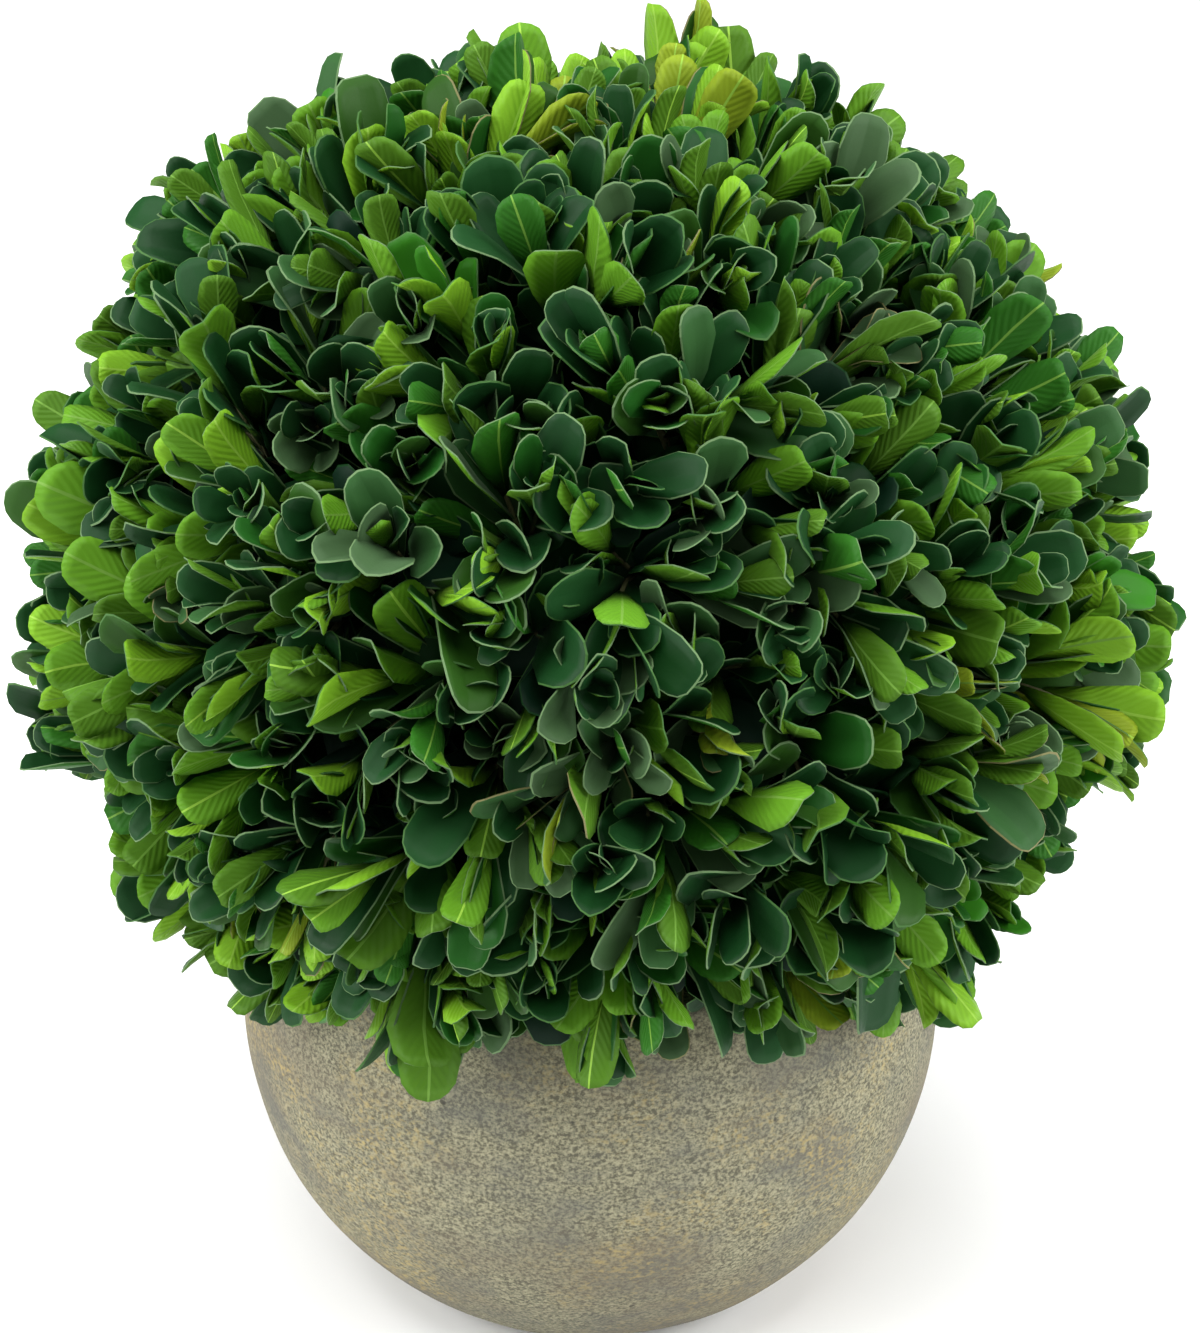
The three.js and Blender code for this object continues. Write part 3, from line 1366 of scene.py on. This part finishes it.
    def _sprigs(self, older: Tips) -> None:
        """Grow the leafy sprigs from the twigs out to the clipped surface.

        Args:
            older: Direction and end of each twig.
        """
        palette = LeafPalette()
        tints = [tint for tint, _ in palette.shares]
        painted_light_side = Vector(self.painted_light_side).normalized()
        lump_start = Vector((self.lump_shift, 0.0, 0.0))
        count = self.sprigs.count
        for way in self.ways(count, self.spread.limb_way / math.sqrt(count)):
            reach = self.reach(way)
            if reach < self.least_sprig_reach * self.half_width:
                continue
            inset = self.leaf_reach + abs(self.random.normal(0.0, self.reach_spread))
            inset += self.skirt_lift * max(0.0, -way.z - self.skirt_start)
            inset += self.lumps * noise.noise(way * self.lump_pace + lump_start)
            end = self.centre + way * (reach - inset)
            if self._in_pot(end, self.sprig_gap):
                continue
            _, start = max(older, key=lambda o: o[0].dot(way))
            limb = self._limb(self.sprigs, start, end)
            limb.knee += way * self.sprig_arch * (end - start).length
            # Tints lean lighter on the back and lower side and darker on the front and upper side:
            # painted light and shade.
            tint = tints[self.random.choice(len(tints), p=palette.odds(way.dot(painted_light_side)))]
            self._leaves(limb, tint, self.pairs)
        # The low skirt under the ball takes the near-black skins too: painted shade.
        for limb in self.limbs["sprigs"]:
            if limb.end.z < self.centre.z - self.skirt_drop:
                self._leaves(limb, Tint.OLD, self.skirt_pairs, inner=True)

    def _leaves(
        self, limb: Limb, tint: Tint, pairs: Sequence[LeafPair], inner: bool = False
    ) -> None:
        """Set crossed pairs of leaves down a limb from its tip.

        Args:
            limb: The sprig or twig.
            tint: Its colouring.
            pairs: The pairs, from the tip down.
            inner: Whether they are the plain leaves inside the ball.
        """
        length = limb.length()
        vigour = self.random.normal(1.0, self.spread.vigour)
        quarter = self.random.uniform(0.0, math.tau)
        openness = self.random.normal(1.0, self.spread.openness)
        first = 0 if inner or self.random.random() < self.bud_share else 1
        for rank, pair in list(enumerate(pairs))[first:]:
            share = 1 - pair.drop * MM * vigour / length
            if share < self.least_leaf_share:
                break
            heading = limb.heading(share)
            base = limb.point(share)
            side = heading.orthogonal().normalized()
            other = heading.cross(side)
            quarter += math.pi / 2 + self.random.normal(0.0, self.spread.pair_turn)
            for opposite in (0.0, math.pi):
                turn = quarter + opposite + self.random.normal(0.0, self.spread.leaf_turn)
                out = side * math.cos(turn) + other * math.sin(turn)
                angle = math.radians(pair.lean * openness + self.random.normal(0.0, self.spread.lean))
                plain = inner or rank in self.plain_ranks
                shade = self._shade(rank, tint)
                size = pair.length * vigour
                self._leaf(limb, base, heading, out, angle, size, plain, shade)

    def _shade(self, rank: int, tint: Tint) -> Tint:
        """Return the tint of one pair: the lowest takes the near-black skins of painted shade and the
        bud of a dull sprig is shaded.

        Args:
            rank: The pair's place from the tip down.
            tint: The sprig's own tint.

        Returns:
            The pair's tint.
        """
        if rank >= self.painted_shade_rank:
            return Tint.OLD
        if rank == 0 and tint in (Tint.GREY, Tint.MID, Tint.FADED):
            return Tint.SHADED
        return tint

    def _leaf(
        self,
        limb: Limb,
        base: Vector,
        heading: Vector,
        out: Vector,
        angle: float,
        size: float,
        plain: bool,
        tint: Tint,
    ) -> None:
        """Set one leaf, unless the pot is in its way.

        Args:
            limb: The limb that it grows on.
            base: Where its stalk leaves the limb's middle.
            heading: The limb's direction there.
            out: Which way it leans out.
            angle: How far it leans out, in radians.
            size: Its length in millimetres.
            plain: Whether it is one of the plainer leaves.
            tint: Its colouring.
        """
        along = heading * math.cos(angle) + out * math.sin(angle)
        inward = heading * math.sin(angle) - out * math.cos(angle)
        roll = self.random.normal(0.0, self.spread.roll)
        inward = Matrix.Rotation(roll, 3, along) @ inward
        across = along.cross(inward)
        length = size * MM * self.random.normal(1.0, self.spread.length)
        stalk = base + out * limb.end_radius
        widest = stalk + along * length * 0.6
        half = across * (0.25 * length)
        spots = (stalk + along * length, widest + half, widest - half, stalk)
        if any(self._in_pot(spot, self.clearance) for spot in spots):
            return
        turn = Matrix((across, along, inward)).transposed()
        self.leaves.append(LeafPose(stalk, turn, length, plain, tint))


@dataclass
class Foliage:
    """The crown's limbs and leaves, joined into pieces by kind and by side of the ball."""

    sectors: int = 6
    casts: int = 12
    plain_casts: int = 4
    bark_relief: float = 0.22
    bark: BoxBark = BoxBark()
    twig: TwigSkin = TwigSkin("young_twig", (0.085, 0.088, 0.030))
    palette: LeafPalette = field(default_factory=LeafPalette)

    def build(self, growth: Growth) -> None:
        """Make the pieces of the crown.

        Args:
            growth: The grown crown.
        """
        thick, thin = RoundWood(sides=9, rings=9), RoundWood(sides=6, rings=5)
        self._wood("crown_boughs", growth, ("boughs", "branches"), thick, self.bark_relief, self.bark)
        self._wood("crown_twigs", growth, ("twigs", "sprigs"), thin, 0.0, self.twig)
        self._leaf_pieces(growth)

    def _wood(
        self,
        name: str,
        growth: Growth,
        kinds: Sequence[str],
        stick: RoundWood,
        relief: float,
        finish: BoxBark | TwigSkin,
    ) -> None:
        """Join the limbs of some generations into one piece.

        Args:
            name: Name of the piece.
            growth: The grown crown.
            kinds: The generations.
            stick: What each limb is drawn from.
            relief: How far its furrows stand out, as a share of the radius.
            finish: Its finish.
        """
        joined = Joiner()
        flat = np.zeros(len(stick.quads), int)
        for kind in kinds:
            for limb in growth.limbs[kind]:
                joined.add(stick.along(limb, relief), stick.quads, flat, flat == 0)
        finish_piece(name, joined.mesh(name), [finish.material()], "crown")

    @staticmethod
    def _shapes(
        random: np.random.Generator, count: int, columns: Sequence[float], rows: Sequence[float]
    ) -> list[LeafCast]:
        """Return leaves of varied shapes, for the crown's leaves to be copied from.

        Args:
            random: The random source.
            count: How many shapes.
            columns: Where the lines of their grid lie across the leaf.
            rows: Where they lie along it.

        Returns:
            The leaves, the first one curled far back.
        """
        curls = random.permutation(np.linspace(-0.42, 0.26, count))
        curls[0] -= 0.35
        found = []
        for curl in curls:
            found.append(
                LeafCast(
                    LeafShape(
                        width=random.uniform(0.385, 0.485),
                        cup=random.uniform(0.05, 0.24),
                        fold=random.choice((0.0, 0.0, 0.1, 0.3)),
                        curl=float(curl),
                        twist=random.normal(0.0, 0.25),
                        wave=random.normal(0.0, 0.07),
                        notch=random.uniform(0.0, 0.03),
                        peak=random.uniform(0.64, 0.76),
                        taper=random.uniform(1.15, 1.6),
                        tip_width=random.uniform(0.62, 0.74),
                    ),
                    columns,
                    rows,
                )
            )
        return found

    def _leaf_pieces(self, growth: Growth) -> None:
        """Join the leaves into pieces by the side of the ball that they stand on.

        Args:
            growth: The grown crown.
        """
        random = growth.random
        fine = self._shapes(random, self.casts, COLUMNS, ROWS)
        plain = self._shapes(random, self.plain_casts, PLAIN_COLUMNS, PLAIN_ROWS)
        slots = self.palette.slots()
        deals = {tint: self.palette.deals(tint) for tint in Tint}
        sides = [Joiner() for _ in range(self.sectors)]
        for leaf in growth.leaves:
            cast = random.choice(plain if leaf.plain else fine)
            dealt = np.array([slots[random.choice(deals[leaf.tint][part])] for part in LeafPart])
            places = (cast.places * leaf.length) @ np.array(leaf.turn).T + np.array(leaf.base)
            bearing = math.atan2(leaf.base.y, leaf.base.x) / math.tau + 0.5
            side = sides[min(int(bearing * self.sectors), self.sectors - 1)]
            side.add(places, cast.quads, dealt[cast.parts], cast.smooth, cast.marks)
        materials = self.palette.materials()
        for i, side in enumerate(sides):
            finish_piece(f"leaves_{i + 1}", side.mesh(f"leaves_{i + 1}"), materials, "crown")
        LOG.info("%d leaves on %d sprigs", len(growth.leaves), len(growth.limbs["sprigs"]))


@dataclass
class Stem:
    """The short stem with its root flare and furrowed bark."""

    sides: int = 72
    rows: int = 60
    furrow: float = 0.35 * MM
    ridge_pace: float = 420.0
    ridge_rise: float = 60.0
    grit_pace: float = 900.0

    def build(self) -> None:
        """Make the stem inside its CAD solid's outline."""
        low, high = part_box("stem")
        places = [v.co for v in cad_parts["stem"].data.vertices]
        sides = sorted({(round(p.z, 5), round(math.hypot(p.x, p.y), 5)) for p in places})
        heights = [z for z, radius in sides if radius > 0.0]
        radii = [radius - self.furrow for _, radius in sides if radius > 0.0]
        levels = np.linspace(low.z, high.z, self.rows)
        side = [(float(np.interp(z, heights, radii)), float(z)) for z in levels]
        mesh = spun_mesh("stem_bark", [(0.0, low.z), *side, (0.0, high.z)], self.sides)
        ruffle(mesh, self._bark)
        finish_piece("stem_bark", mesh, [BoxBark().material()], "stem")

    def _bark(self, place: Vector) -> float:
        """Work out how far the bark stands out, in ridges that run up the stem.

        Args:
            place: A point of the stem.

        Returns:
            The distance.
        """
        x, y = place.x * self.ridge_pace, place.y * self.ridge_pace
        ridge = noise.noise(Vector((x, y, place.z * self.ridge_rise)))
        return self.furrow * (ridge + 0.5 * noise.noise(place * self.grit_pace))


# ---- Studio ----------------------------------------------------------------------------------
@dataclass(frozen=True)
class Lamp:
    """One soft lamp aimed at the plant."""

    name: str
    place: tuple[float, float, float]
    size: float
    watts: float


@dataclass
class Studio:
    """A pale floor, soft white light all round and the camera."""

    ball_height: float = 0.1665
    floor_half: float = 6.0
    floor_gap: float = 0.2 * MM
    floor_tone: Colour = (0.9, 0.9, 0.9)
    sky: float = 0.2
    lamps: tuple[Lamp, ...] = (
        Lamp("overhead", (-0.1, -0.1, 1.4), 1.5, 34.0),
        Lamp("left", (-1.3, -0.4, 0.75), 1.0, 28.0),
        Lamp("right", (1.3, -0.4, 0.75), 1.0, 29.0),
        Lamp("front", (0.2, -1.4, 1.0), 0.8, 1.5),
    )
    elevation: float = math.radians(28.0)
    distance: float = 0.85
    lens: float = 108.8
    sensor: float = 36.0
    aim: tuple[float, float] = (2.1 * MM, -18.7 * MM)

    def build(self) -> None:
        """Set up the floor, the light and the camera, all about the middle of the ball."""
        centre = Vector((0.0, 0.0, self.ball_height))
        self._floor()
        world = bpy.data.worlds.new("studio")
        world.use_nodes = True
        world.node_tree.nodes["Background"].inputs["Color"].default_value = (1.0, 1.0, 1.0, 1.0)
        world.node_tree.nodes["Background"].inputs["Strength"].default_value = self.sky
        bpy.context.scene.world = world
        for lamp in self.lamps:
            self._lamp(lamp, centre)
        self._camera(centre)
        bpy.context.scene.view_settings.view_transform = "Standard"

    def _floor(self) -> None:
        """Lay the pale floor just under the pot."""
        bm = bmesh.new()
        bmesh.ops.create_grid(bm, x_segments=1, y_segments=1, size=self.floor_half)
        bmesh.ops.translate(bm, verts=bm.verts, vec=(0.0, 0.0, -self.floor_gap))
        mesh = bpy.data.meshes.new("floor")
        bm.to_mesh(mesh)
        bm.free()
        g = Graph("floor_white")
        mesh.materials.append(g.dress(Base_Color=self.floor_tone, Roughness=0.9))
        floor = bpy.data.objects.new("floor", mesh)
        bpy.context.scene.collection.objects.link(floor)

    @staticmethod
    def _lamp(lamp: Lamp, centre: Vector) -> None:
        """Hang one lamp, turned towards the plant.

        Args:
            lamp: The lamp.
            centre: Middle of the ball.
        """
        data = bpy.data.lights.new(lamp.name, "AREA")
        data.size = lamp.size
        data.energy = lamp.watts
        light = bpy.data.objects.new(lamp.name, data)
        light.location = lamp.place
        light.rotation_euler = (centre - Vector(lamp.place)).to_track_quat("-Z", "Y").to_euler()
        bpy.context.scene.collection.objects.link(light)

    def _camera(self, centre: Vector) -> None:
        """Stand the camera in front of the plant, looking down on it.

        Args:
            centre: Middle of the ball.
        """
        data = bpy.data.cameras.new("camera")
        data.lens = self.lens
        data.sensor_width = self.sensor
        back = Vector((0.0, -math.cos(self.elevation), math.sin(self.elevation)))
        rise = Vector((0.0, math.sin(self.elevation), math.cos(self.elevation)))
        camera = bpy.data.objects.new("camera", data)
        place = centre + back * self.distance + rise * self.aim[1]
        camera.location = place + Vector((self.aim[0], 0.0, 0.0))
        camera.rotation_euler = (math.pi / 2 - self.elevation, 0.0, 0.0)
        bpy.context.scene.collection.objects.link(camera)
        bpy.context.scene.camera = camera


def main() -> None:
    """Build the plant, its pot and the studio, in order."""
    logging.basicConfig(level=logging.INFO, format="%(name)s: %(message)s")
    pot = StonePot()
    pot.build()
    PlantingMix().build()
    Stem().build()
    growth = Growth(pot)
    growth.grow()
    Foliage().build(growth)
    Studio().build()


if __name__ == "__main__":
    main()
